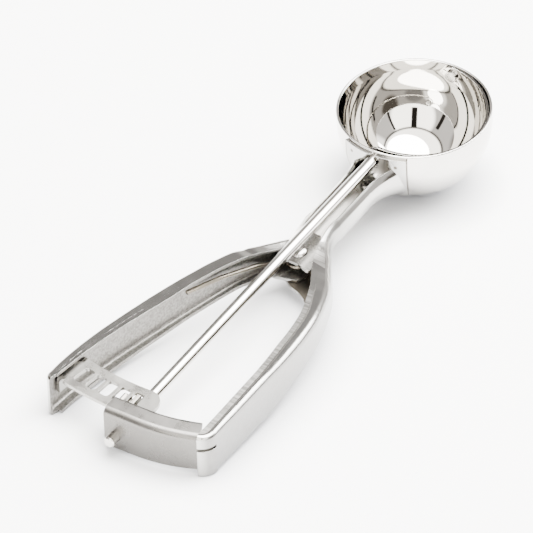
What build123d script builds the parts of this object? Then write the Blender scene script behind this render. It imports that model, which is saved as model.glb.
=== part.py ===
"""Lever ice cream scoop: squeeze the handles and a slotted crown rack turns the sweep blade.

Tool frame while modelling, in millimetres: the origin is the centre of the bowl's rim plane,
+X runs along the rod towards the grips, +Y to the fixed handle and +Z out of the bowl's mouth.
The last section lays the finished pieces down on the table.
"""

from build123d import *

import os
from bisect import bisect
from math import asin, atan2, cos, degrees, hypot, pi, radians, sin
from typing import NamedTuple

os.makedirs("parts", exist_ok=True)

# ---------------------------------------------------------------- driving dimensions
sheet = 1.0                 # stamped sheet of both handles, the yoke and the cross-arm
seat_gap = 0.05             # between nested sheets of one body
running_gap = 0.05          # radial, shaft in hole
free_gap = 0.35             # between pieces that move past each other

bowl_radius = 25.5          # outside
bowl_wall = 0.9
bowl_lip = 4.0              # straight band under the rim

rod_radius = 1.9
rod_drop = 3.44             # rod axis below the rim plane
rod_end_x = 184.8
rod_nose_radius = 1.3       # reduced nose that carries the blade
rod_head_radius = 2.3
rod_head_height = 1.0
rod_chamfer = 0.4

blade_width = 8.0
blade_sheet = 0.8
blade_eye_radius = 3.4
blade_rest_angle = 4.6      # below the rim plane, on the fixed handle's side
blade_rivet_radius = 1.2
blade_rivet_head = 2.0
blade_rivet_head_height = 0.8

neck_radius = 6.5           # outside of the rolled neck
neck_drop = 6.3             # neck's centre below the rod axis
neck_wrap = 40.0            # how far each wall closes over the mouth, degrees past vertical
neck_flat = 0.3             # flats between the neck's bends
neck_start_x = 22.0
neck_end_x = 56.0
flare_end_x = 37.0          # from there the neck widens into the yoke
flare_sections = 6
flare_width = 3.8           # added to each side at its start
flare_drop = 2.2            # its underside spreads down the bowl

yoke_half_angle = 26.0
yoke_top = 1.0              # below the rim plane
yoke_reach = 36.0           # how far the straps run down round the bowl, degrees below its equator
yoke_hole_radius = 2.6
yoke_corner = 2.6           # rounding of the straps' lower corners

pivot_x = 72.0
pivot_radius = 2.0
pivot_head_radius = 3.2
pivot_head_height = 1.3
pivot_tail_height = 1.0
pivot_tail_radius = 3.0
sleeve_wall = 0.55
sleeve_gap = 0.2            # at each end, to the lever's plates

joggle_radius = 0.8         # bends that step the upper flange down to its inner strip
grip_top = 5.6              # top of the fixed grip at its end
grip_bottom = -10.8         # underside of both grips at their ends
grip_side = 32.3            # outer face of the fixed grip at its end
fixed_sections = 28         # stations of the fixed grip's loft
station_crowding = 1.25     # 1 spaces the stations evenly
corner_x = 172.3
corner_radius = 5.4
corner_turn = 76.0
corner_slit = 1.2           # between the corner's tab and the bead over it
corner_lift = 0.6           # the tab's underside above the grip's
bead_height = 4.6
bead_width = 5.2
wall_end_x = 69.5           # end of the neck's left wall

arm_radius = 49.0           # the cross-arm's outer face bows gently
arm_lean = 26.0
arm_start_y = -3.9
arm_top = 6.2               # at the rod
arm_bottom = -8.3
arm_bend = 2.2
arm_flange = 6.4
arm_lip = 0.6
arm_lip_turn = 50.0
arm_lip_turn_end = 4.0      # it flattens towards the corner
arm_sections = 8
arm_tail = 8.0              # length inside the fixed grip

lever_top = 5.1
lever_plate_top = -8.1      # top face of the lever's upper plate at the pivot
lever_plate_bottom = -14.9  # bottom face of its lower plate there
lever_start_x = 70.6
lever_end_x = 173.4
lever_curl_radius = 3.2
lever_curl_turn = 74.0
lever_sections = 26         # stations of the lever's loft
lever_range = 11.0          # degrees of squeeze
nose_depth = 3.0            # how much of the channel turns in at its end
tang_x = 61.8
tang_half = 2.4
rest_end_x = 173.4          # the grips touch the table there

crown_teeth = 123           # a full crown of this slot pitch
pinion_teeth = 8
crown_radius = 98.0         # pitch radius about the pivot
crown_phase = 0.35          # first slot's angle past the rod, lever at rest
rack_sheet = 1.2
rack_slots = 5
slot_width = 3.8
slot_length = 6.8
slot_corner = 1.1
rack_band = 12.8            # radial width of the rack plate
rack_bend = 4.4
rack_free_angle = 5.0       # its free end past the rod
rack_end_round = 5.5
bend_start_x = 162.4        # bend along the lever's web
bend_end_x = 171.0
tab_start_x = 155.5
tab_bottom = -4.6
tab_corner = 1.5

pinion_face = 5.0
pinion_hub = 1.2
pinion_hub_radius = 3.6
pinion_tip = 0.96           # tooth tip beyond the pitch radius
pinion_root = 1.75          # tooth root inside the pitch radius
tooth_tip_width = 1.3
tooth_root_width = 3.1
tooth_tip_round = 0.3

wire = 1.6
coil_radius = 3.7
coil_rise = 2.0             # per turn
coil_gap = 0.4              # under the lever's upper plate
leg_run = 0.8               # straight off the coil before a leg's first bend
leg_bend = 4.0
lever_leg_angle = -20.0     # where the legs leave the coil
fixed_leg_angle = 39.0
lever_leg_places = [(79, -5.5, -10.4), (86, -7.4, -7.2), (100, -11.9, -3.6), (113.8, -15.6, -1)]
fixed_leg_places = [(78, 9.2, 0), (88, 16.4, 0.6), (97, 21.8, 2.6), (104, 25.1, 4)]

# ---------------------------------------------------------------- worked-out places
rod_z = -rod_drop
neck_z = rod_z - neck_drop
frame_bottom = neck_z - neck_radius
frame_floor = frame_bottom + sheet
crown_pitch = radians(360 / crown_teeth)
pinion_pitch_radius = pinion_teeth * crown_radius * crown_pitch / (2 * pi)
rack_mid_z = rod_z + pinion_pitch_radius
rack_z = rack_mid_z - rack_sheet / 2
rack_top = rack_z + rack_sheet
arm_top_end = rack_top + free_gap + sheet                   # the rack passes under its flange
pinion_x = pivot_x + crown_radius
coupling_ratio = -crown_teeth / pinion_teeth
pinion_phase = crown_phase * crown_teeth / pinion_teeth     # a tooth stands in the first slot


def heading(angle):
    """Unit vector in plan, angle in degrees from +X."""
    return Vector(cos(radians(angle)), sin(radians(angle)), 0)


def section_plane(x, y, angle, side):
    """Section plane at a point of an outer face: local X points into the channel, local Y up."""
    along = heading(angle)
    inward = Vector(along.Y, -along.X, 0) * side
    return Plane(origin=(x, y, 0), x_dir=inward, z_dir=along * -side)


def sheet_profile(plane, start, start_angle, moves):
    """Closed profile of a bent sheet: a number is a straight leg, a pair is a bend (mid radius, turn)."""

    def skin(offset):
        """Legs and bends of one face of the sheet, offset to the right of the travel."""
        angle = start_angle
        point = Vector(*start) + Vector(sin(radians(angle)), -cos(radians(angle))) * offset
        steps = []
        for move in moves:
            if isinstance(move, tuple):
                radius, turn = move
                hand = 1 if turn > 0 else -1
                size = radius + offset * hand
                hub = point + Vector(-sin(radians(angle)), cos(radians(angle))) * size * hand
                steps.append((point, angle, size, turn))
                point = hub + (point - hub).rotate(Axis.Z, turn)
                angle += turn
            else:
                steps.append((point, angle, move, 0))
                point = point + Vector(cos(radians(angle)), sin(radians(angle))) * move
        return steps, point

    near_face, near_end = skin(sheet / 2)
    far_face, far_end = skin(-sheet / 2)
    with BuildSketch(plane) as profile:
        with BuildLine():
            for point, angle, size, turn in near_face + far_face:
                if turn:
                    tangent = (cos(radians(angle)), sin(radians(angle)))
                    JernArc(start=point, tangent=tangent, radius=size, arc_size=turn)
                else:
                    PolarLine(start=point, length=size, angle=angle)
            Line(near_end, far_end)
            Line(near_face[0][0], far_face[0][0])
        make_face()
    return profile.sketch


class Channel(NamedTuple):
    """Section of a grip: web outside, flanges inwards, the upper one stepped down by a joggle."""

    bottom: float           # underside and top face above the rim plane
    top: float
    lower: float            # width of the lower flange
    leg: float              # upper flange before and after its joggle
    strip: float
    bend_low: float         # outside bend radii
    bend_top: float
    top_turn: float = 90.0
    joggle: float = 2.0
    lip_radius: float = 1.0  # free edge of the lower flange
    lip_turn: float = 12.0
    lip_leg: float = 0.3

    def profile(self, plane):
        low = self.bend_low - sheet / 2
        high = self.bend_top - sheet / 2
        lip = radians(self.lip_turn)
        web = self.top - self.bottom - sheet - low - high * sin(radians(self.top_turn))
        tip_u = self.lower + self.lip_radius * sin(lip) + self.lip_leg * cos(lip)
        tip_v = self.bottom + sheet / 2 + self.lip_radius * (1 - cos(lip)) + self.lip_leg * sin(lip)
        moves = [
            self.lip_leg,
            (self.lip_radius, -self.lip_turn),
            self.lower - self.bend_low,
            (low, -90),
            web,
            (high, -self.top_turn),
            self.leg,
            (joggle_radius, -self.joggle),
            (joggle_radius, self.joggle),
            self.strip,
        ]
        return sheet_profile(plane, (tip_u, tip_v), 180 + self.lip_turn, moves)


def channel_at(table, x):
    """Section between two stations of a table {x: Channel}."""
    stations = sorted(table)
    after = min(max(bisect(stations, x), 1), len(stations) - 1)
    first, last = stations[after - 1], stations[after]
    share = min(max((x - first) / (last - first), 0), 1)
    return Channel(*(a + (b - a) * share for a, b in zip(table[first], table[last])))


def grip_sections(line, table, side, count):
    """Sections across the tool along the line of a grip's outer face, closest near the pivot."""
    sections = []
    for step in range(count + 1):
        point = line @ (step / count) ** station_crowding
        plane = section_plane(point.X, point.Y, 0, side)
        sections.append(channel_at(table, point.X).profile(plane))
    return sections


# ---------------------------------------------------------------- bowl
with BuildPart() as bowl:
    with BuildSketch(Plane.XZ):
        with BuildLine():
            inner_radius = bowl_radius - bowl_wall
            Line((bowl_radius, 0), (bowl_radius, -bowl_lip))
            CenterArc((0, -bowl_lip), bowl_radius, 0, -90)
            Line((0, -bowl_lip - bowl_radius), (0, -bowl_lip - inner_radius))
            CenterArc((0, -bowl_lip), inner_radius, 0, -90)
            Line((inner_radius, -bowl_lip), (inner_radius, 0))
            Line((inner_radius, 0), (bowl_radius, 0))
        make_face()
    revolve(axis=Axis.Z)
    fillet(bowl.edges().group_by(Axis.Z)[-1], bowl_wall * 0.4)
    with BuildSketch(Plane.YZ):
        with Locations((0, rod_z)):
            Circle(rod_radius + running_gap)
    extrude(amount=bowl_radius + bowl_wall, mode=Mode.SUBTRACT)
    with BuildSketch(Plane.YZ):
        with Locations((0, rod_z)):
            Circle(blade_rivet_radius + running_gap)
    extrude(amount=-bowl_radius - bowl_wall, mode=Mode.SUBTRACT)

# ---------------------------------------------------------------- fixed handle: yoke, neck and grip
neck_channel = Channel(
    bottom=frame_bottom,
    top=neck_z + (neck_radius - sheet / 2) * sin(radians(neck_wrap)) + neck_flat + sheet / 2,
    lower=neck_radius + neck_flat,
    leg=neck_flat,
    strip=neck_flat,
    bend_low=neck_radius,
    bend_top=neck_radius,
    top_turn=neck_wrap,
    lip_radius=neck_radius - sheet / 2,
    lip_turn=90 + neck_wrap,
    lip_leg=neck_flat,
)
neck_side = neck_radius + neck_flat / 2
fixed_table = {
    neck_end_x: neck_channel,
    62: Channel(frame_bottom, -5.1, 7.55, 0.4, 0.4, 6.5, 5.9, 46, 2, 5.6, 128, 0.3),
    66: Channel(frame_bottom, -5.0, 9.85, 0.7, 0.5, 6.5, 4.6, 60, 2, 5.0, 120, 0.5),
    69.5: Channel(frame_bottom, -4.9, 12.6, 1.3, 0.9, 6.5, 3.6, 74, 2, 4.5, 110, 1),
    76: Channel(frame_bottom, -4.6, 17, 2.6, 1.6, 6.5, 2.8, 86, 2, 3, 60, 0.5),
    80: Channel(-16.2, -3.8, 17, 3.2, 1.8, 6.5, 2.6, 89, 3, 1.5, 20),
    86: Channel(-15.8, -2.1, 13, 3.2, 1.8, 6.5, 2.6, 90, 8),
    95: Channel(-14.8, 0.2, 8.5, 2, 1.8, 6.5, 2.6, 90, 28),
    105: Channel(-13.8, 1.9, 7.4, 0.9, 1.8, 6.3, 2.6, 90, 48),
    115: Channel(-13.0, 3.1, 6.8, 0.7, 1.8, 5.8, 2.5, 90, 52),
    125: Channel(-12.6, 4.0, 6.3, 0.6, 1.9, 4.6, 2.4, 90, 52),
    140: Channel(-12.4, 4.9, 5.4, 0.3, 1.9, 2.6, 1.8, 90, 52),
    corner_x: Channel(grip_bottom, grip_top, 5, 0.05, 2.1, 2, 1.5, 90, 50),
}
fixed_line = Spline(
    (neck_end_x, neck_side),
    (61, 6.9),
    (66, 8.9),
    (72, 12.6),
    (79.2, 17.2),
    (88.7, 22.8),
    (95, 25.3),
    (104.3, 28.3),
    (113.5, 30.2),
    (125.9, 31.6),
    (140.2, 32.1),
    (150, 32.2),
    (161, 32.28),
    (corner_x, grip_side),
)

corner_hub = Vector(corner_x, grip_side - corner_radius, 0)
corner_axis = Axis(corner_hub, (0, 0, -1))
bead_bottom = grip_top - bead_height
tab_top = bead_bottom - corner_slit
tab_low = grip_bottom + corner_lift

yoke_near = bowl_radius + seat_gap
yoke_far = yoke_near + sheet
with BuildPart() as yoke:
    with BuildSketch(Plane.XZ.rotated((0, 0, -yoke_half_angle))):
        with BuildLine():
            Line((yoke_near, -yoke_top), (yoke_near, -bowl_lip))
            low_near = CenterArc((0, -bowl_lip), yoke_near, 0, -yoke_reach)
            low_far = CenterArc((0, -bowl_lip), yoke_far, 0, -yoke_reach)
            Line((yoke_far, -bowl_lip), (yoke_far, -yoke_top))
            Line((yoke_far, -yoke_top), (yoke_near, -yoke_top))
            Line(low_near @ 1, low_far @ 1)
        make_face()
    revolve(axis=Axis.Z, revolution_arc=2 * yoke_half_angle)
    low_corners = yoke.edges().filter_by(lambda edge: edge.length < 1.01 * sheet).sort_by(Axis.Z)[:2]
    fillet(low_corners, yoke_corner)

with BuildPart() as fixed_handle:
    loft(grip_sections(fixed_line, fixed_table, 1, fixed_sections))
    neck = neck_channel.profile(section_plane(flare_end_x, neck_side, 0, 1))
    extrude(neck, amount=neck_end_x - flare_end_x, dir=(1, 0, 0))
    flare = []
    for step in range(flare_sections + 1):
        spread = (1 - step / flare_sections) ** 2
        wide = flare_width * spread
        opened = neck_channel._replace(bottom=frame_bottom - flare_drop * spread, lower=neck_channel.lower + 2 * wide)
        flare_x = neck_start_x + (flare_end_x - neck_start_x) * step / flare_sections
        flare.append(opened.profile(section_plane(flare_x, neck_side + wide, 0, 1)))
    loft(flare)
    add(yoke.part)
    # corner: a tab of the web and the bead over it turn round the end of the grip
    end_plane = section_plane(corner_x, grip_side, 0, 1)
    with BuildSketch(end_plane):
        with Locations((sheet / 2, (tab_top + tab_low) / 2)):
            Rectangle(sheet, tab_top - tab_low)
    revolve(axis=corner_axis, revolution_arc=corner_turn)
    with BuildSketch(end_plane) as bead:
        add(end_plane.to_local_coords(fixed_table[corner_x].profile(end_plane)))
        with Locations((bead_width / 2, bead_bottom + bead_height / 2)):
            Rectangle(bead_width, bead_height, mode=Mode.INTERSECT)
    revolve(axis=corner_axis, revolution_arc=corner_turn)
    # the bowl's seat and the rod's hole through the yoke
    with BuildSketch(Plane.XZ):
        with BuildLine():
            Line((0, 0), (yoke_near, 0))
            Line((yoke_near, 0), (yoke_near, -bowl_lip))
            CenterArc((0, -bowl_lip), yoke_near, 0, -90)
            Line((0, -bowl_lip - yoke_near), (0, 0))
        make_face()
    revolve(axis=Axis.Z, mode=Mode.SUBTRACT)
    with BuildSketch(Plane.YZ):
        with Locations((0, rod_z)):
            Circle(yoke_hole_radius)
    extrude(amount=yoke_far + sheet, mode=Mode.SUBTRACT)
    # the neck's left wall stops short of the lever
    with BuildSketch(Plane.XY.offset(frame_floor)):
        with Locations((wall_end_x, 0)):
            Rectangle(20, 2 * neck_radius, align=(Align.MIN, Align.MAX))
    extrude(amount=2 * neck_radius, mode=Mode.SUBTRACT)
    # the floor's free edge runs aslant from there to the grip's lower flange
    with BuildSketch(Plane.XY.offset(frame_bottom - sheet)):
        with BuildLine():
            Polyline(
                (wall_end_x, -2 * neck_radius),
                (wall_end_x, -neck_radius + 0.3),
                (76, -5.5),
                (79.2, -0.7),
                (81.3, 2.8),
                (82.4, 6),
                (84.5, 9.5),
                (90, 14.5),
                (100, 20.5),
                (100, -2 * neck_radius),
                close=True,
            )
        make_face()
    extrude(amount=6 * sheet, mode=Mode.SUBTRACT)
    with BuildSketch(Plane.XY.offset(frame_bottom - sheet)):
        with Locations((pivot_x, 0)):
            Circle(pivot_radius)
    extrude(amount=3 * sheet, mode=Mode.SUBTRACT)

# ---------------------------------------------------------------- cross-arm
arm_reach = corner_radius - sheet - seat_gap - 0.1     # its outer face round the corner's hub
arm_tangent = corner_hub + heading(arm_lean) * arm_reach
arm_centre = corner_hub + heading(arm_lean) * (arm_reach - arm_radius)
arm_face_x = arm_centre.X + arm_radius
tail_top = bead_bottom - seat_gap

with BuildPart() as cross_arm:
    with BuildLine(mode=Mode.PRIVATE):
        straight = Line((arm_face_x, arm_start_y), (arm_face_x, arm_centre.Y))
        bow = JernArc(start=straight @ 1, tangent=(0, 1), radius=arm_radius, arc_size=arm_lean)
    arm_length = straight.length + bow.length
    arm_outlines = []
    for step in range(arm_sections + 1):
        run = step / arm_sections * arm_length
        if run < straight.length:
            point, turn = straight @ (run / straight.length), 90
        else:
            share = (run - straight.length) / bow.length
            point, turn = bow @ share, 90 + arm_lean * share
        fall = (run / arm_length) ** 2
        top = arm_top + (arm_top_end - arm_top) * fall
        lip_turn = arm_lip_turn + (arm_lip_turn_end - arm_lip_turn) * fall
        bend = arm_bend - sheet / 2
        moves = [
            top - arm_bottom - sheet / 2 - bend,
            (bend, -90),
            arm_flange - arm_bend,
            (joggle_radius, -lip_turn),
            arm_lip,
        ]
        plane = section_plane(point.X, point.Y, turn, -1)
        arm_outlines.append(sheet_profile(plane, (sheet / 2, arm_bottom), 90, moves))
    loft(arm_outlines)
    # above the tail it ends at the corner's bead
    bead_plane = Plane(corner_hub + Vector(0, 0, tail_top), x_dir=heading(90 - corner_turn), z_dir=(0, 0, 1))
    with BuildSketch(bead_plane):
        with Locations((0, -seat_gap)):
            Rectangle(4 * corner_radius, 2 * corner_radius, align=(Align.CENTER, Align.MIN))
    extrude(amount=2 * arm_top, mode=Mode.SUBTRACT)
    # the web alone runs on round the corner, inside the fixed handle
    with BuildSketch(Plane(origin=corner_hub, x_dir=heading(arm_lean), z_dir=heading(arm_lean - 90))):
        with Locations((arm_reach - sheet / 2, (tail_top + arm_bottom) / 2)):
            Rectangle(sheet, tail_top - arm_bottom)
    revolve(axis=Axis(corner_hub, (0, 0, 1)), revolution_arc=90 - arm_lean)
    with BuildSketch(Plane.XY.offset(arm_bottom)):
        with Locations((corner_x - arm_tail / 2, corner_hub.Y + arm_reach - sheet / 2)):
            Rectangle(arm_tail, sheet)
    extrude(amount=tail_top - arm_bottom)
    with BuildSketch(Plane.YZ.offset(arm_face_x - 2 * sheet)):
        with Locations((0, rod_z)):
            Circle(rod_radius + running_gap)
    extrude(amount=3 * sheet, mode=Mode.SUBTRACT)

# ---------------------------------------------------------------- lever handle
lever_table = {
    lever_start_x: Channel(lever_plate_bottom, -6.3, 6, 0.9, 0.3, 1.6, 1.2, 130),
    74: Channel(lever_plate_bottom, -4.8, 6, 1.3, 0.5, 1.8, 1.4, 124),
    78: Channel(-14.4, -3.2, 5.4, 1.5, 0.8, 2, 1.6, 114),
    86: Channel(-13.0, -0.3, 3.6, 1.6, 1.2, 2, 1.6, 101),
    94: Channel(-12.1, 2.3, 2.8, 2.0, 1.8, 2, 1.6, 94),
    103: Channel(-11.7, 3.8, 2.6, 2.0, 1.8, 2, 1.6),
    115: Channel(-11.6, 4.6, 2.6, 2.0, 1.8, 2, 1.6),
    125: Channel(-11.6, 4.9, 3, 2.2, 2.0, 2, 1.6),
    151: Channel(-11.4, lever_top, 3.8, 1.6, 1.6, 2, 1.6),
    lever_end_x: Channel(grip_bottom, lever_top, 4, 1.0, 1.0, 2, 1.6),
}
lever_line = Spline(
    (lever_start_x, -5.8),
    (77.3, -7.6),
    (84.9, -10.1),
    (93.6, -12.8),
    (101.5, -14.8),
    (112, -17.6),
    (125.3, -21.1),
    (137.4, -24.1),
    (151.5, -27.1),
    (lever_end_x, -29.4),
)
lever_tip = lever_line @ 1

with BuildPart() as lever_handle:
    loft(grip_sections(lever_line, lever_table, -1, lever_sections))
    # upper plate with its tang in the neck
    with BuildSketch(Plane.XY.offset(lever_plate_top - sheet)) as upper_plate:
        with BuildLine():
            Polyline(
                (tang_x, -tang_half),
                (tang_x, tang_half),
                (67, 4.2),
                (71, 7.0),
                (76, 8.4),
                (79.2, 8.0),
                (77.4, 3.0),
                (77.2, -1.0),
                (79.0, -5.2),
                (pivot_x, -5.4),
                (67, -3.4),
                close=True,
            )
        make_face()
        fillet(upper_plate.vertices(), 1.2)
    extrude(amount=sheet)
    # lower plate on the frame's floor
    with BuildSketch(Plane.XY.offset(lever_plate_bottom)) as lower_plate:
        with BuildLine():
            Polyline(
                (70.2, -5.2),
                (70, -1),
                (68.2, 1.2),
                (69, 3.4),
                (71, 5),
                (76, 4.8),
                (78.8, 3.4),
                (80, -1),
                (81, -5.4),
                close=True,
            )
        make_face()
        fillet(lower_plate.vertices(), 1.2)
    extrude(amount=sheet)
    # its end turns in like a nose, web and both bends together
    tip_plane = section_plane(lever_tip.X, lever_tip.Y, 0, -1)
    nose_height = lever_top - grip_bottom
    with BuildSketch(tip_plane) as nose:
        add(tip_plane.to_local_coords(lever_table[lever_end_x].profile(tip_plane)))
        with Locations((nose_depth / 2, grip_bottom + nose_height / 2)):
            Rectangle(nose_depth, 2 * nose_height, mode=Mode.INTERSECT)
    nose_hub = lever_tip + Vector(0, lever_curl_radius, 0)
    revolve(axis=Axis(nose_hub, (0, 0, 1)), revolution_arc=lever_curl_turn)
    with BuildSketch(Plane.XY.offset(lever_plate_bottom - sheet)):
        with Locations((pivot_x, 0)):
            Circle(pivot_radius + running_gap)
    extrude(amount=3 * neck_radius, mode=Mode.SUBTRACT)

# ---------------------------------------------------------------- rack plate: slotted crown on an angle
crown_centre = Vector(pivot_x, 0, 0)
rack_inner = crown_radius - rack_band / 2
rack_outer = crown_radius + rack_band / 2
tab_back = lever_line @ 0.8
tab_lean = degrees(atan2(lever_tip.Y - tab_back.Y, lever_tip.X - tab_back.X))
tab_start = lever_tip + heading(tab_lean) * ((tab_start_x - lever_tip.X) / cos(radians(tab_lean)))
tab_plane = section_plane(tab_start.X, tab_start.Y, tab_lean, -1)
tab_near = sheet + 2 * seat_gap          # its outer face beside the lever's web

with BuildPart() as rack_plate:
    # flat plate: a band about the pivot, rounded at its free end
    with BuildSketch(Plane.XY.offset(rack_z)) as band:
        with Locations(crown_centre):
            Circle(rack_outer)
            Circle(rack_inner, mode=Mode.SUBTRACT)
        with BuildLine(mode=Mode.PRIVATE) as keep:
            bent = tab_start + heading(tab_lean + 90) * (tab_near + rack_bend)
            end = crown_centre + heading(rack_free_angle) * 2 * crown_radius
            Polyline(bent, bent + heading(tab_lean) * crown_radius, end, crown_centre, close=True)
        make_face(keep.edges(), mode=Mode.INTERSECT)
        fillet(band.vertices().sort_by(Axis.Y)[-2:], rack_end_round)
    extrude(amount=rack_sheet)
    # bend down to the lever's web
    bend_from = (bend_start_x - tab_start_x) / cos(radians(tab_lean))
    bend_to = (bend_end_x - tab_start_x) / cos(radians(tab_lean))
    with BuildSketch(tab_plane.offset(bend_from)):
        with BuildLine():
            hub = (tab_near + rack_bend, rack_top - rack_bend)
            CenterArc(hub, rack_bend, 90, 90)
            CenterArc(hub, rack_bend - rack_sheet, 90, 90)
            Line((tab_near, hub[1]), (tab_near + rack_sheet, hub[1]))
            Line((hub[0], rack_top), (hub[0], rack_z))
        make_face()
    extrude(amount=bend_to - bend_from)
    # tab on the web
    with BuildSketch(Plane(origin=tab_start, x_dir=heading(tab_lean), z_dir=heading(tab_lean - 90))) as tab:
        with Locations((0, (tab_bottom + rack_top - rack_bend) / 2)):
            Rectangle(bend_to, rack_top - rack_bend - tab_bottom, align=(Align.MIN, Align.CENTER))
        fillet(tab.vertices().sort_by(Axis.X)[:2], tab_corner)
    extrude(amount=-tab_near - rack_sheet)
    extrude(tab.sketch, amount=-tab_near, mode=Mode.SUBTRACT)
    # slots
    with BuildSketch(Plane.XY.offset(rack_z - rack_sheet)):
        for slot in range(rack_slots):
            angle = crown_phase - slot * 360 / crown_teeth
            with Locations(Location(crown_centre + heading(angle) * crown_radius, (0, 0, angle))):
                RectangleRounded(slot_length, slot_width, slot_corner)
    extrude(amount=3 * rack_sheet, mode=Mode.SUBTRACT)

# ---------------------------------------------------------------- rod and pinion
blade_outer = bowl_radius - bowl_wall - free_gap
blade_inner = blade_outer - blade_sheet
head_seat = blade_inner - 0.15           # underside of the heads that hold the blade's eyes

with BuildPart() as rod:
    with BuildSketch(Plane.XY):
        with BuildLine():
            Polyline(
                (head_seat - rod_head_height, 0),
                (head_seat - rod_head_height, rod_head_radius - rod_chamfer),
                (head_seat - rod_head_height + rod_chamfer, rod_head_radius),
                (head_seat, rod_head_radius),
                (head_seat, rod_nose_radius),
                (blade_outer, rod_nose_radius),
                (blade_outer, rod_radius),
                (rod_end_x - rod_chamfer, rod_radius),
                (rod_end_x, rod_radius - rod_chamfer),
                (rod_end_x, 0),
                close=True,
            )
        make_face()
    revolve(axis=Axis.X)

with BuildSketch() as tooth:
    tip = pinion_pitch_radius + pinion_tip
    root = pinion_pitch_radius - pinion_root
    with BuildLine():
        Polyline(
            (root * 0.8, -tooth_root_width / 2),
            (root, -tooth_root_width / 2),
            (tip, -tooth_tip_width / 2),
            (tip, tooth_tip_width / 2),
            (root, tooth_root_width / 2),
            (root * 0.8, tooth_root_width / 2),
            close=True,
        )
    make_face()
    fillet(tooth.vertices().sort_by(Axis.X)[-2:], tooth_tip_round)

with BuildPart() as pinion:
    with BuildSketch(Plane.YZ.offset(pinion_x - pinion_face / 2)):
        Circle(root)
        with PolarLocations(0, pinion_teeth, start_angle=90 - pinion_phase):
            add(tooth.sketch)
        Circle(rod_radius + seat_gap, mode=Mode.SUBTRACT)
    extrude(amount=pinion_face)
    with BuildSketch(Plane.YZ.offset(pinion_x - pinion_face / 2 - pinion_hub)):
        Circle(pinion_hub_radius)
        Circle(rod_radius + seat_gap, mode=Mode.SUBTRACT)
    extrude(amount=pinion_hub)

# ---------------------------------------------------------------- sweep blade and its far journal
with BuildPart() as sweep_blade:
    with BuildSketch(Plane.XZ):
        Rectangle(2 * blade_outer, blade_width)
    extrude(amount=-bowl_radius)
    with BuildSketch(Plane.YZ):
        Circle(blade_eye_radius)
    extrude(amount=bowl_radius, both=True)
    with BuildSketch(Plane.XY):
        with BuildLine():
            CenterArc((0, 0), blade_outer, 0, 180)
            CenterArc((0, 0), blade_inner, 0, 180)
            Line((-blade_outer, 0), (-blade_inner, 0))
            Line((blade_inner, 0), (blade_outer, 0))
        make_face()
    revolve(axis=Axis.X, mode=Mode.INTERSECT)
    with BuildSketch(Plane.YZ):
        Circle(rod_nose_radius)
    extrude(amount=bowl_radius, mode=Mode.SUBTRACT)
    with BuildSketch(Plane.YZ):
        Circle(blade_rivet_radius)
    extrude(amount=-bowl_radius, mode=Mode.SUBTRACT)

with BuildPart() as blade_rivet:
    out = bowl_radius + 0.3
    with BuildSketch(Plane.XY):
        with BuildLine():
            Polyline(
                (-head_seat + blade_rivet_head_height, 0),
                (-head_seat + blade_rivet_head_height, blade_rivet_head),
                (-head_seat, blade_rivet_head),
                (-head_seat, blade_rivet_radius),
                (-out, blade_rivet_radius),
                (-out, blade_rivet_head),
                (-out - blade_rivet_head_height, blade_rivet_head * 0.6),
                (-out - blade_rivet_head_height, 0),
                close=True,
            )
        make_face()
    revolve(axis=Axis.X)

# ---------------------------------------------------------------- pivot: rivet, sleeve and torsion spring
head_base = lever_plate_top + 2 * running_gap
tail_top_z = frame_bottom - seat_gap
with BuildPart() as pivot_rivet:
    with BuildSketch(Plane.XZ):
        with BuildLine():
            dome = ThreePointArc(
                (0, head_base + pivot_head_height),
                (pivot_head_radius * 0.72, head_base + pivot_head_height * 0.66),
                (pivot_head_radius, head_base),
            )
            Polyline(
                dome @ 1,
                (pivot_radius, head_base),
                (pivot_radius, tail_top_z),
                (pivot_tail_radius, tail_top_z),
                (pivot_tail_radius - 0.4, tail_top_z - pivot_tail_height),
                (0, tail_top_z - pivot_tail_height),
                dome @ 0,
            )
        make_face()
    revolve(axis=Axis.Z)

sleeve_base = lever_plate_bottom + sheet + sleeve_gap
sleeve_height = lever_plate_top - sheet - sleeve_gap - sleeve_base
with BuildPart() as spacer_sleeve:
    with BuildSketch(Plane.XY.offset(sleeve_base)):
        Circle(pivot_radius + sleeve_wall + running_gap)
        Circle(pivot_radius + running_gap, mode=Mode.SUBTRACT)
    extrude(amount=sleeve_height)

coil_start = lever_leg_angle - 90
coil_end = fixed_leg_angle + 90
coil_sweep = coil_start - coil_end + 720          # clockwise down from the lever's leg to the fixed one
coil_top = lever_plate_top - sheet - coil_gap - wire / 2
coil_height = coil_rise * coil_sweep / 360
coil_base = coil_top - coil_height
coil_place = Location(crown_centre + Vector(0, 0, coil_base), (0, 0, coil_end))
coil = Helix(coil_rise, coil_height, coil_radius).moved(coil_place)
lever_leg = [coil @ 1, coil @ 1 + (coil % 1) * leg_run, *lever_leg_places]
fixed_leg = [coil @ 0, coil @ 0 - (coil % 0) * leg_run]
fixed_leg += [(x, y, coil_base + lift) for x, y, lift in fixed_leg_places]

with BuildPart() as torsion_spring:
    with BuildLine():
        add(coil)
    with BuildSketch(coil ^ 0):
        Circle(wire / 2)
    sweep()
    for leg in (lever_leg, fixed_leg):
        with BuildLine() as bent_leg:
            FilletPolyline(*leg, radius=leg_bend)
        with BuildSketch(bent_leg.line ^ 0):
            Circle(wire / 2)
        sweep()

# ---------------------------------------------------------------- laid down on the table
# It lies on the bowl and on the undersides of both grips' ends.
rest_lift = -grip_bottom - bowl_lip
lay_down = asin(bowl_radius / hypot(rest_end_x, rest_lift)) - atan2(rest_lift, rest_end_x)


def laid_x(x, z):
    """Where a point of the tool's middle plane comes to lie along the table."""
    return x * cos(lay_down) + z * sin(lay_down)


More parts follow.
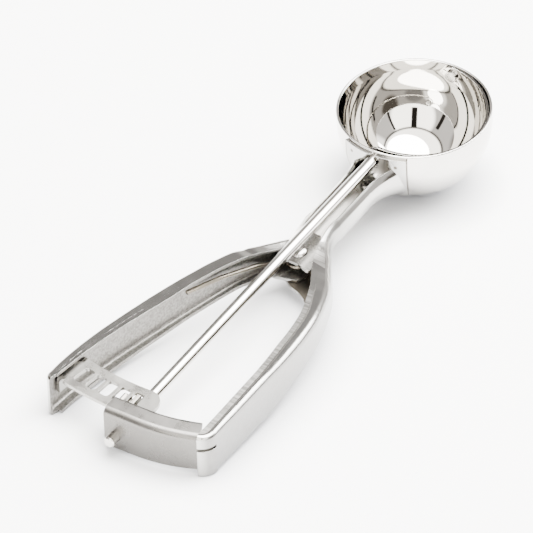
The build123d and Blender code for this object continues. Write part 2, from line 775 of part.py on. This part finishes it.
front_end = laid_x(-out - blade_rivet_head_height, rod_z - blade_rivet_head * 0.6)
rear_end = laid_x(rod_end_x, rod_z + rod_radius - rod_chamfer)
middle = Vector(front_end + rear_end, grip_side + lever_tip.Y) / 2
table = Pos(-middle.X, -middle.Y, bowl_radius + bowl_lip * cos(lay_down)) * Rot(Y=degrees(lay_down))

pieces = {
    "bowl": bowl.part,
    "fixed_handle": fixed_handle.part,
    "cross_arm": cross_arm.part,
    "lever_handle": lever_handle.part,
    "rack_plate": rack_plate.part,
    "pivot_rivet": pivot_rivet.part.moved(Pos(pivot_x, 0, 0)),
    "spacer_sleeve": spacer_sleeve.part.moved(Pos(pivot_x, 0, 0)),
    "torsion_spring": torsion_spring.part,
    "rod": rod.part.moved(Pos(0, 0, rod_z)),
    "pinion": pinion.part.moved(Pos(0, 0, rod_z)),
    "sweep_blade": sweep_blade.part.moved(Pos(0, 0, rod_z) * Rot(X=-blade_rest_angle)),
    "blade_rivet": blade_rivet.part.moved(Pos(0, 0, rod_z)),
}
for name, piece in pieces.items():
    laid = piece.moved(table)
    laid.label = name
    export_step(laid, f"parts/{name}.step")
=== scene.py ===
"""Lever ice cream scoop, dressed: polished and satin stainless steel on a pale studio floor."""

from math import cos, radians, sin

import bpy
from mathutils import Matrix, Vector


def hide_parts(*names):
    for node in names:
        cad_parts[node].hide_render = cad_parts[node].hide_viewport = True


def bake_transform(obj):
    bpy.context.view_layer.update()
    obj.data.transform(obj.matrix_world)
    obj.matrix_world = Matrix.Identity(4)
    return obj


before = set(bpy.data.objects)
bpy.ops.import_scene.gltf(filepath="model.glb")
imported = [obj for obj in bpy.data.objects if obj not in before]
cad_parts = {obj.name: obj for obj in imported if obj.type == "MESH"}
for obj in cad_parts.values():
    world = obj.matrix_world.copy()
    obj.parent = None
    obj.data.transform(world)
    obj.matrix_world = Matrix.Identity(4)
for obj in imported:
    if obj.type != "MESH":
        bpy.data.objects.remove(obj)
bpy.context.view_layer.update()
mm = 0.001

# ---------------------------------------------------------------- the tool's own frame on the table
# The bowl's mouth is its origin, X runs along the rod, Y to the fixed grip and Z out of the mouth. The scoop lies on
# its bowl and the ends of its grips, which tips that frame a little about Y.
lay_down = radians(6.2042)
mouth_on_table = Vector((-78.2812, -1.45, 29.4766)) * mm
tool = Matrix.Translation(mouth_on_table) @ Matrix.Rotation(lay_down, 4, "Y")
to_fixed_grip = tool.to_3x3() @ Vector((0, 1, 0))
out_of_mouth = tool.to_3x3() @ Vector((0, 0, 1))


# ---------------------------------------------------------------- materials
def steel_colour(hex_code):
    """Linear colour with alpha from an sRGB hex value."""
    parts = [int(hex_code[i:i + 2], 16) / 255 for i in (1, 3, 5)]
    return [v / 12.92 if v <= 0.04045 else ((v + 0.055) / 1.055) ** 2.4 for v in parts] + [1]


def add(tree, kind, settings=None, **links):
    """A node with its settings and its links: sockets by name or number, a linked number written n0, n1 and so on."""
    made = tree.nodes.new(kind)
    for key, value in (settings or {}).items():
        if isinstance(key, int) or key in made.inputs.keys():
            made.inputs[key].default_value = value
        else:
            setattr(made, key, value)
    for key, socket in links.items():
        name = key.replace("_", " ")
        entry = int(name[1:]) if name[0] == "n" and name[1:].isdigit() else name
        tree.links.new(socket, made.inputs[entry])
    return made


def start(name):
    """An empty node material, its tree, and the object coordinates turned into the tool's own frame."""
    material = bpy.data.materials.new(name)
    material.use_nodes = True
    tree = material.node_tree
    tree.nodes.clear()
    place = add(tree, "ShaderNodeTexCoord").outputs["Object"]
    back = tool.inverted()
    turned = add(tree, "ShaderNodeMapping", {"Location": back.translation, "Rotation": back.to_euler()}, Vector=place)
    return material, tree, turned.outputs[0]


# Most of a noise's values lie near its middle, so they are spread from there, mildly or strongly.
mild_spread = {"From Min": 0.3, "From Max": 0.7}
strong_spread = {"From Min": 0.35, "From Max": 0.65}


def polished_stainless(name, light, dark, rough_low, rough_high, depth, covers=()):
    """Stamped 18/8 stainless, machine-polished: nearly a mirror, a little warm, with faint polishing haze.

    Covers are the finishes, marks and painted shade laid over it in places.
    """
    haze_size, mark_size, wave_size, tone_size = 5 * mm, 0.6 * mm, 14 * mm, 11 * mm
    wave_share, worn_edge = 6.0, 0.18 * mm
    material, tree, place = start(name)
    haze = add(tree, "ShaderNodeTexNoise", {"Scale": 1 / haze_size, "Detail": 3.0}, Vector=place)
    rough_span = {**mild_spread, "To Min": rough_low, "To Max": rough_high}
    rough = add(tree, "ShaderNodeMapRange", rough_span, Value=haze.outputs[0])
    marks = add(tree, "ShaderNodeTexNoise", {"Scale": 1 / mark_size, "Detail": 4.0}, Vector=place)
    waves = add(tree, "ShaderNodeTexNoise", {"Scale": 1 / wave_size, "Detail": 1.0}, Vector=place)
    summed = {"operation": "MULTIPLY_ADD", 1: wave_share}
    height = add(tree, "ShaderNodeMath", summed, n0=waves.outputs[0], n2=marks.outputs[0])
    edges = add(tree, "ShaderNodeBevel", {"samples": 4, "Radius": worn_edge})
    relief = {"Strength": 1.0, "Distance": depth}
    bump = add(tree, "ShaderNodeBump", relief, Height=height.outputs[0], Normal=edges.outputs[0])
    tones = add(tree, "ShaderNodeTexNoise", {"Scale": 1 / tone_size, "Detail": 2.0}, Vector=place)
    shades = {"data_type": "RGBA", 6: steel_colour(dark), 7: steel_colour(light)}
    tint = add(tree, "ShaderNodeMix", shades, n0=tones.outputs[0])
    shader = add(
        tree,
        "ShaderNodeBsdfPrincipled",
        {"Metallic": 1.0},
        Base_Color=tint.outputs[2],
        Roughness=rough.outputs[0],
        Normal=bump.outputs[0],
    )
    for cover in covers:
        cover(tree, place, shader)
    add(tree, "ShaderNodeOutputMaterial", None, Surface=shader.outputs[0])
    return material


def satin_stainless(name, light, dark, across):
    """Stainless left satin by the press or the belt: soft highlights drawn out along fine grinding lines.

    The lines are stretched along each axis by one over its number in across, and drawn 0.5 mm apart, coarser than
    the real ones, so that they show.
    """
    line_size, patch_size = 0.5 * mm, 6 * mm
    line_depth, worn_edge = 0.006 * mm, 0.15 * mm
    material, tree, place = start(name)
    stretch = add(tree, "ShaderNodeMapping", {"Scale": across}, Vector=place)
    lines = add(tree, "ShaderNodeTexNoise", {"Scale": 1 / line_size, "Detail": 3.0}, Vector=stretch.outputs[0])
    patches = add(tree, "ShaderNodeTexNoise", {"Scale": 1 / patch_size, "Detail": 3.0}, Vector=place)
    rough_span = {**mild_spread, "To Min": 0.22, "To Max": 0.36}
    rough = add(tree, "ShaderNodeMapRange", rough_span, Value=patches.outputs[0])
    shades = {"data_type": "RGBA", 6: steel_colour(dark), 7: steel_colour(light)}
    tint = add(tree, "ShaderNodeMix", shades, n0=lines.outputs[0])
    edges = add(tree, "ShaderNodeBevel", {"samples": 4, "Radius": worn_edge})
    relief = {"Strength": 1.0, "Distance": line_depth}
    bump = add(tree, "ShaderNodeBump", relief, Height=lines.outputs[0], Normal=edges.outputs[0])
    shader = add(
        tree,
        "ShaderNodeBsdfPrincipled",
        {"Metallic": 1.0},
        Base_Color=tint.outputs[2],
        Roughness=rough.outputs[0],
        Normal=bump.outputs[0],
    )
    add(tree, "ShaderNodeOutputMaterial", None, Surface=shader.outputs[0])
    return material


def lay_over(tree, shader, share, colour, rough=None):
    """Cover what a shader has so far, as far as the share goes from 0 to 1.

    The colour is a hex value or a socket, and without a roughness of its own the cover keeps the one below it.
    """
    under = shader.inputs["Base Color"].links[0].from_socket
    tinted = add(tree, "ShaderNodeMix", {"data_type": "RGBA"}, n0=share, n6=under)
    if isinstance(colour, str):
        tinted.inputs[7].default_value = steel_colour(colour)
    else:
        tree.links.new(colour, tinted.inputs[7])
    tree.links.new(tinted.outputs[2], shader.inputs["Base Color"])
    if rough is not None:
        under = shader.inputs["Roughness"].links[0].from_socket
        dulled = add(tree, "ShaderNodeMix", {"data_type": "FLOAT", 3: rough}, n0=share, n2=under)
        tree.links.new(dulled.outputs[0], shader.inputs["Roughness"])


def mill_inside(tree, place, shader):
    """The inside of the lever's channel, left with the sheet's own mill finish: grey and finely speckled."""
    grain_size, mill_rough = 0.8 * mm, 0.4
    turned_up = {"From Min": 0.45, "From Max": 0.7}
    normal = add(tree, "ShaderNodeNewGeometry").outputs["Normal"]
    inward = add(tree, "ShaderNodeVectorMath", {"operation": "DOT_PRODUCT", 1: to_fixed_grip}, n0=normal)
    upward = add(tree, "ShaderNodeVectorMath", {"operation": "DOT_PRODUCT", 1: out_of_mouth}, n0=normal)
    wall = add(tree, "ShaderNodeMapRange", turned_up, Value=inward.outputs["Value"])
    ledge = add(tree, "ShaderNodeMapRange", turned_up, Value=upward.outputs["Value"])
    split = add(tree, "ShaderNodeSeparateXYZ", None, Vector=place)
    low = add(tree, "ShaderNodeMapRange", {"From Min": -7 * mm, "From Max": -9 * mm}, Value=split.outputs[2])
    lower_flange = add(tree, "ShaderNodeMath", {"operation": "MULTIPLY"}, n0=ledge.outputs[0], n1=low.outputs[0])
    inside = add(tree, "ShaderNodeMath", {"operation": "MAXIMUM"}, n0=wall.outputs[0], n1=lower_flange.outputs[0])
    grain = add(tree, "ShaderNodeTexNoise", {"Scale": 1 / grain_size, "Detail": 4.0}, Vector=place)
    contrast = add(tree, "ShaderNodeMapRange", strong_spread, Value=grain.outputs[0])
    greys = {"data_type": "RGBA", 6: steel_colour("#6B6965"), 7: steel_colour("#8B8985")}
    speckled = add(tree, "ShaderNodeMix", greys, n0=contrast.outputs[0])
    lay_over(tree, shader, inside.outputs[0], speckled.outputs[2], mill_rough)


def satin_web_painted_shade(tree, place, shader):
    """The outer face of the fixed grip, which turns from polished to satin along the neck. Its satin grey is darker
    than the polished steel: painted shade for the shadowed floor that the web reflects.
    """
    grain_size, satin_rough = 1.5 * mm, 0.24
    normal = add(tree, "ShaderNodeNewGeometry").outputs["Normal"]
    outward = add(tree, "ShaderNodeVectorMath", {"operation": "DOT_PRODUCT", 1: to_fixed_grip}, n0=normal)
    side = add(tree, "ShaderNodeMapRange", {"From Min": 0.4, "From Max": 0.8}, Value=outward.outputs["Value"])
    split = add(tree, "ShaderNodeSeparateXYZ", None, Vector=place)
    past_neck = add(tree, "ShaderNodeMapRange", {"From Min": 45 * mm, "From Max": 65 * mm}, Value=split.outputs[0])
    web = add(tree, "ShaderNodeMath", {"operation": "MULTIPLY"}, n0=side.outputs[0], n1=past_neck.outputs[0])
    grain = add(tree, "ShaderNodeTexNoise", {"Scale": 1 / grain_size, "Detail": 4.0}, Vector=place)
    # Painted shade: this grey is darker than the polished steel, for the shadowed floor the web reflects.
    greys = {"data_type": "RGBA", 6: steel_colour("#777674"), 7: steel_colour("#878684")}
    satin_shaded_grey = add(tree, "ShaderNodeMix", greys, n0=grain.outputs[0])
    lay_over(tree, shader, web.outputs[0], satin_shaded_grey.outputs[2], satin_rough)


def brushed_strip(tree, place, shader):
    """The stepped-down strip along the fixed grip's upper flange, brushed across its length."""
    strip_start, strip_end = 80, 172.3
    # the flange's top at places along the strip, and the heights between which the curve is drawn
    flange_tops = {80: -3.8, 86: -2.1, 95: 0.2, 105: 1.9, 115: 3.1, 125: 4.0, 140: 4.9, 172.3: 5.6}
    lowest, rise = -4, 10
    line_size, brushed_rough = 0.7 * mm, 0.36
    split = add(tree, "ShaderNodeSeparateXYZ", None, Vector=place)
    length = {"From Min": strip_start * mm, "From Max": strip_end * mm}
    run = add(tree, "ShaderNodeMapRange", length, Value=split.outputs[0])
    crest = add(tree, "ShaderNodeFloatCurve", None, Value=run.outputs[0])
    curve = crest.mapping.curves[0]
    spots = [((x - strip_start) / (strip_end - strip_start), (top - lowest) / rise) for x, top in flange_tops.items()]
    curve.points[0].location, curve.points[-1].location = spots[0], spots[-1]
    for spot in spots[1:-1]:
        curve.points.new(*spot)
    crest.mapping.update()
    height = {"operation": "MULTIPLY_ADD", 1: rise * mm, 2: lowest * mm}
    top = add(tree, "ShaderNodeMath", height, n0=crest.outputs[0])
    below = add(tree, "ShaderNodeMath", {"operation": "SUBTRACT"}, n0=top.outputs[0], n1=split.outputs[2])
    # the strip lies from 0.2 to 1.3 mm below that top
    shallow_limit = {"From Min": 0.16 * mm, "From Max": 0.26 * mm}
    deep_limit = {"From Min": 1.4 * mm, "From Max": 1.2 * mm}
    under = add(tree, "ShaderNodeMapRange", shallow_limit, Value=below.outputs[0])
    over = add(tree, "ShaderNodeMapRange", deep_limit, Value=below.outputs[0])
    normal = add(tree, "ShaderNodeNewGeometry").outputs["Normal"]
    facing = add(tree, "ShaderNodeVectorMath", {"operation": "DOT_PRODUCT", 1: out_of_mouth}, n0=normal)
    flat = add(tree, "ShaderNodeMapRange", {"From Min": 0.95, "From Max": 0.97}, Value=facing.outputs["Value"])
    both = add(tree, "ShaderNodeMath", {"operation": "MULTIPLY"}, n0=under.outputs[0], n1=over.outputs[0])
    strip = add(tree, "ShaderNodeMath", {"operation": "MULTIPLY"}, n0=both.outputs[0], n1=flat.outputs[0])
    stretch = add(tree, "ShaderNodeMapping", {"Scale": (1, 0.06, 0.3)}, Vector=place)
    lines = add(tree, "ShaderNodeTexNoise", {"Scale": 1 / line_size, "Detail": 3.0}, Vector=stretch.outputs[0])
    contrast = add(tree, "ShaderNodeMapRange", strong_spread, Value=lines.outputs[0])
    greys = {"data_type": "RGBA", 6: steel_colour("#6E6C69"), 7: steel_colour("#A3A19D")}
    brushed = add(tree, "ShaderNodeMix", greys, n0=contrast.outputs[0])
    lay_over(tree, shader, strip.outputs[0], brushed.outputs[2], brushed_rough)


def dull_hollow_painted_shade(tree, place, shader):
    """The inner walls and the floor of the neck, the trough and the fixed grip: unpolished, with painted shade that
    darkens them towards the rivet.
    """
    hollow_rough = 0.4
    normal = add(tree, "ShaderNodeNewGeometry").outputs["Normal"]
    outward = add(tree, "ShaderNodeVectorMath", {"operation": "DOT_PRODUCT", 1: to_fixed_grip}, n0=normal)
    upward = add(tree, "ShaderNodeVectorMath", {"operation": "DOT_PRODUCT", 1: out_of_mouth}, n0=normal)
    wall = add(tree, "ShaderNodeMapRange", {"From Min": -0.4, "From Max": -0.7}, Value=outward.outputs["Value"])
    ledge = add(tree, "ShaderNodeMapRange", {"From Min": 0.5, "From Max": 0.8}, Value=upward.outputs["Value"])
    split = add(tree, "ShaderNodeSeparateXYZ", None, Vector=place)
    deep = add(tree, "ShaderNodeMapRange", {"From Min": -6 * mm, "From Max": -8 * mm}, Value=split.outputs[2])
    trough = add(tree, "ShaderNodeMath", {"operation": "MULTIPLY"}, n0=ledge.outputs[0], n1=deep.outputs[0])
    hollow = add(tree, "ShaderNodeMath", {"operation": "MAXIMUM"}, n0=wall.outputs[0], n1=trough.outputs[0])
    clear_of_bowl = {"From Min": 28 * mm, "From Max": 32 * mm}
    behind_bowl = add(tree, "ShaderNodeMapRange", clear_of_bowl, Value=split.outputs[0])
    dull = add(tree, "ShaderNodeMath", {"operation": "MULTIPLY"}, n0=hollow.outputs[0], n1=behind_bowl.outputs[0])
    # Painted shade: the hollows' grey darkens towards the rivet, from 66 to 78 mm along the rod.
    shade_towards_rivet = add(tree, "ShaderNodeMapRange", {"From Min": 66 * mm, "From Max": 78 * mm}, Value=split.outputs[0])
    greys = {"data_type": "RGBA", 6: steel_colour("#B3AFA9"), 7: steel_colour("#57524A")}
    unpolished_and_shaded = add(tree, "ShaderNodeMix", greys, n0=shade_towards_rivet.outputs[0])
    lay_over(tree, shader, dull.outputs[0], unpolished_and_shaded.outputs[2], hollow_rough)


def weld_marks(tree, place, shader):
    """Brown spots, 1.2 mm across, where the yoke's straps are welded to the bowl."""
    for spot in ((25.29, 8.08, -3.86), (24.23, 6.63, -12.6), (25.12, -8.57, -3.51)):
        away = add(tree, "ShaderNodeVectorMath", {"operation": "DISTANCE", 1: Vector(spot) * mm}, n0=place)
        rim = {"From Min": 0.75 * mm, "From Max": 0.45 * mm}
        burnt = add(tree, "ShaderNodeMapRange", rim, Value=away.outputs["Value"])
        lay_over(tree, shader, burnt.outputs[0], "#5B554E")


def strap_edge_painted_shade(tree, place, shader):
    """The straps' cut ends, 26 degrees to each side of the rod, with painted shade drawn as a dark line where they
    meet the bowl.
    """
    split = add(tree, "ShaderNodeSeparateXYZ", None, Vector=place)
    bearing = add(tree, "ShaderNodeMath", {"operation": "ARCTAN2"}, n0=split.outputs[1], n1=split.outputs[0])
    aside = add(tree, "ShaderNodeMath", {"operation": "ABSOLUTE"}, n0=bearing.outputs[0])
    rim = {"From Min": radians(25.0), "From Max": radians(25.4)}
    shaded_edge = add(tree, "ShaderNodeMapRange", rim, Value=aside.outputs[0])
    # Painted shade: a dark line along the straps' ends against the bowl.
    lay_over(tree, shader, shaded_edge.outputs[0], "#4E4842")


# The bowl, the blade and the rod are buffed to a mirror, and show the room sharply.
mirror = polished_stainless("mirror_polished_stainless_bowl", "#D2D0CC", "#C6C3BE", 0.025, 0.05, 0.0008 * mm)
# The rivets and the grips are bright, with reflections a little blurred by the polishing wheel.
polished = polished_stainless("polished_stainless_steel", "#B9B7B4", "#ABA9A6", 0.08, 0.16, 0.002 * mm)
# The fixed grip's steel carries painted shade in its hollows, along its outer web and at the straps' ends.
grip_steel = polished_stainless(
    "polished_stainless_brushed_strip_and_painted_shade",
    "#B5B4B1",
    "#A8A7A4",
    0.08,
    0.16,
    0.002 * mm,
    covers=(satin_web_painted_shade, brushed_strip, dull_hollow_painted_shade, weld_marks, strap_edge_painted_shade),
)
lever_steel = polished_stainless(
    "polished_stainless_mill_inside", "#A9A8A5", "#9B9A97", 0.08, 0.16, 0.002 * mm, covers=(mill_inside,)
)
# Small stampings and turned pieces are satin, and the belt's lines run along X, or across the rack.
satin = satin_stainless("satin_stainless_sheet", "#72706D", "#656360", (0.08, 1, 1))
ground = satin_stainless("ground_stainless_rack_plate", "#A09E9A", "#918F8A", (1, 0.1, 1))
milled = satin_stainless("milled_stainless_teeth", "#A39F98", "#7F7B74", (0.3, 1, 1))
# Drawn wire is browner and duller than the sheet.
spring_steel = satin_stainless("drawn_spring_wire", "#8E877C", "#6A645A", (0.2, 1, 1))

finishes = {
    "bowl": mirror,
    "fixed_handle": grip_steel,
    "lever_handle": lever_steel,
    "cross_arm": satin,
    "rack_plate": ground,
    "rod": mirror,
    "pinion": milled,
    "sweep_blade": mirror,
    "blade_rivet": polished,
    "pivot_rivet": polished,
    "spacer_sleeve": satin,
    "torsion_spring": spring_steel,
}
for name, finish in finishes.items():
    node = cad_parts[name]
    node.data.materials.clear()
    node.data.materials.append(finish)

# ---------------------------------------------------------------- the spring
# One leg stays in the fixed grip and the other follows the lever's web. A smooth-shaded copy of the spring's mesh,
# with its doubled points merged, stands in for the part, which is hidden.
bpy.ops.object.select_all(action="DESELECT")
spring = bpy.data.objects.new("wound_spring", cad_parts["torsion_spring"].data.copy())
bpy.context.collection.objects.link(spring)
bpy.context.view_layer.objects.active = spring
spring.select_set(True)
bpy.ops.object.mode_set(mode="EDIT")
bpy.ops.mesh.select_all(action="SELECT")
bpy.ops.mesh.remove_doubles(threshold=0.0001 * mm)
bpy.ops.object.mode_set(mode="OBJECT")
bpy.ops.object.shade_smooth_by_angle(angle=radians(30))
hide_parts("torsion_spring")
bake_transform(spring)

# ---------------------------------------------------------------- floor
# White paper, matt, with a painted contact shadow: its colour darkens where the scoop keeps the sky from it.
floor_size, shadow_reach = 6, 16 * mm
bpy.ops.object.select_all(action="DESELECT")
bpy.ops.mesh.primitive_plane_add(size=floor_size, location=(0, 0, 0))
floor = bpy.context.object
floor.name = "pale_floor"
paper = bpy.data.materials.new("white_paper_sweep")
paper.use_nodes = True
sheet = paper.node_tree.nodes["Principled BSDF"]
sheet.inputs["Roughness"].default_value = 0.9
open_sky = add(paper.node_tree, "ShaderNodeAmbientOcclusion", {"samples": 8, "Distance": shadow_reach})
paper_and_painted_shadow = {"data_type": "RGBA", 6: steel_colour("#8E9199"), 7: steel_colour("#F7F7F7")}
shaded = add(paper.node_tree, "ShaderNodeMix", paper_and_painted_shadow, n0=open_sky.outputs["AO"])
paper.node_tree.links.new(shaded.outputs[2], sheet.inputs["Base Color"])
floor.data.materials.append(paper)


# ---------------------------------------------------------------- lights
def softbox(name, place, width, power):
    """A round studio light of a width in metres and a power in watts, aimed at the middle of the scoop."""
    lamp = bpy.data.lights.new(name, "AREA")
    lamp.shape = "ELLIPSE"
    lamp.size = lamp.size_y = width
    lamp.energy = power
    box = bpy.data.objects.new(name, lamp)
    bpy.context.collection.objects.link(box)
    box.location = place
    box.rotation_euler = (-Vector(place)).to_track_quat("-Z", "Y").to_euler()


softbox("overhead_softbox", (-0.15, 0.1, 1.1), 1.2, 80)
softbox("side_softbox", (-0.9, 0.5, 0.8), 0.8, 36)

# ---------------------------------------------------------------- the room that the steel reflects
# Colours are divided by the brightest light, because a colour socket holds at most 1, and the strength gives it back.
exposure, wall_light, brightest = 1.7, 1.3, 9.0
world = bpy.context.scene.world or bpy.data.worlds.new("studio")
bpy.context.scene.world = world
world.use_nodes = True
studio = world.node_tree
studio.nodes.clear()
look = add(studio, "ShaderNodeTexCoord").outputs["Generated"]
room = add(studio, "ShaderNodeRGB").outputs[0]
room.default_value = [wall_light * v / brightest for v in steel_colour("#DCD8D3")[:3]] + [1]


def bearing_of(azimuth, elevation):
    """The direction at an azimuth and an elevation, both in radians."""
    return Vector((cos(elevation) * cos(azimuth), cos(elevation) * sin(azimuth), sin(elevation)))


def hang(before, azimuth, elevation, reach, soft, colour, light=1.0):
    """A round cloth over the room so far: where it hangs, its radius and its edge in degrees, and its light."""
    towards_it = bearing_of(radians(azimuth), radians(elevation))
    facing = add(studio, "ShaderNodeVectorMath", {"operation": "DOT_PRODUCT", 1: towards_it}, n0=look)
    rim = {"From Min": cos(radians(reach + soft)), "From Max": cos(radians(reach - soft))}
    inside = add(
        studio, "ShaderNodeMapRange", {"interpolation_type": "SMOOTHSTEP", **rim}, Value=facing.outputs["Value"]
    )
    shade = [v * light / brightest for v in steel_colour(colour)[:3]] + [1]
    cloth = add(studio, "ShaderNodeMix", {"data_type": "RGBA", 7: shade}, n0=inside.outputs[0], n6=before)
    return cloth.outputs[2]


def gap(before, azimuth, elevation, reach, width, colour):
    """A dark upright gap between two panels: where it is, and half its height and half its width in degrees."""
    side_edge, end_edge = 0.8, 1
    ahead = bearing_of(radians(azimuth), radians(elevation))
    beside = Vector((-sin(radians(azimuth)), cos(radians(azimuth)), 0))
    off_axis = add(studio, "ShaderNodeVectorMath", {"operation": "DOT_PRODUCT", 1: beside}, n0=look)
    off = add(studio, "ShaderNodeMath", {"operation": "ABSOLUTE"}, n0=off_axis.outputs["Value"])
    narrow = {"From Min": sin(radians(width + side_edge)), "From Max": sin(radians(width - side_edge))}
    across = add(studio, "ShaderNodeMapRange", {"interpolation_type": "SMOOTHSTEP", **narrow}, Value=off.outputs[0])
    facing = add(studio, "ShaderNodeVectorMath", {"operation": "DOT_PRODUCT", 1: ahead}, n0=look)
    tall = {"From Min": cos(radians(reach + end_edge)), "From Max": cos(radians(reach - end_edge))}
    along = add(
        studio, "ShaderNodeMapRange", {"interpolation_type": "SMOOTHSTEP", **tall}, Value=facing.outputs["Value"]
    )
    inside = add(studio, "ShaderNodeMath", {"operation": "MULTIPLY"}, n0=across.outputs[0], n1=along.outputs[0])
    shade = [v / brightest for v in steel_colour(colour)[:3]] + [1]
    cloth = add(studio, "ShaderNodeMix", {"data_type": "RGBA", 7: shade}, n0=inside.outputs[0], n6=before)
    return cloth.outputs[2]


room = hang(room, 33, 34, 34, 4, "#FFFCF5", 4.8)         # the white panel behind the camera
room = hang(room, 285, 14, 24, 6, "#6A645D")             # two dark cloths low at the sides
room = hang(room, 95, 4, 13, 5, "#6A645D")
room = hang(room, 150, 42, 27, 5, "#FFFDF9", 3.0)        # the lesser panel beyond the bowl
room = hang(room, 214, 38, 21, 6, "#AEABA8")             # the grey wall that the tops of the grips see
room = gap(room, 30, 35, 16, 4.5, "#26231F")             # the three dark wedges in the bowl
room = gap(room, 340, 30, 12, 3, "#2E2A26")
room = gap(room, 75, 34, 14, 2, "#3A3632")
room = hang(room, 0, 90, 41, 1.5, "#4A4640")             # the overhead panel, with a thin dark frame round it
room = hang(room, 0, 90, 38, 1.5, "#FFFCF5", 4.2)
background = add(studio, "ShaderNodeBackground", {"Strength": exposure * brightest}, Color=room)
add(studio, "ShaderNodeOutputWorld", None, Surface=background.outputs[0])

# ---------------------------------------------------------------- camera
# It stands 3 m off with a long lens, 33 degrees round from the rod's far end and 41 up, in the tool's frame, and the
# bowl's mouth has its middle at a pixel of a square view.
azimuth, elevation, roll = radians(33.284), radians(40.576), radians(-2.164)
distance, pixels_per_mm, view_pixels, film_width = 3000, 3.07723, 533, 36
mouth_column, mouth_row = 414.303, 107.557
towards = bearing_of(azimuth, elevation)
right = Vector((-sin(azimuth), cos(azimuth), 0))
above = towards.cross(right)
right, above = cos(roll) * right + sin(roll) * above, cos(roll) * above - sin(roll) * right
shift_right = (mouth_column - view_pixels / 2) / pixels_per_mm
shift_up = (view_pixels / 2 - mouth_row) / pixels_per_mm
stand = distance * towards - shift_right * right - shift_up * above
turn = Matrix((right, above, towards)).transposed().to_4x4()
lens = bpy.data.cameras.new("camera")
lens.sensor_width = film_width
lens.lens = film_width * distance * pixels_per_mm / view_pixels
lens.clip_end = 20
camera = bpy.data.objects.new("camera", lens)
bpy.context.collection.objects.link(camera)
camera.matrix_world = tool @ Matrix.Translation(stand * mm) @ turn
bpy.context.scene.camera = camera
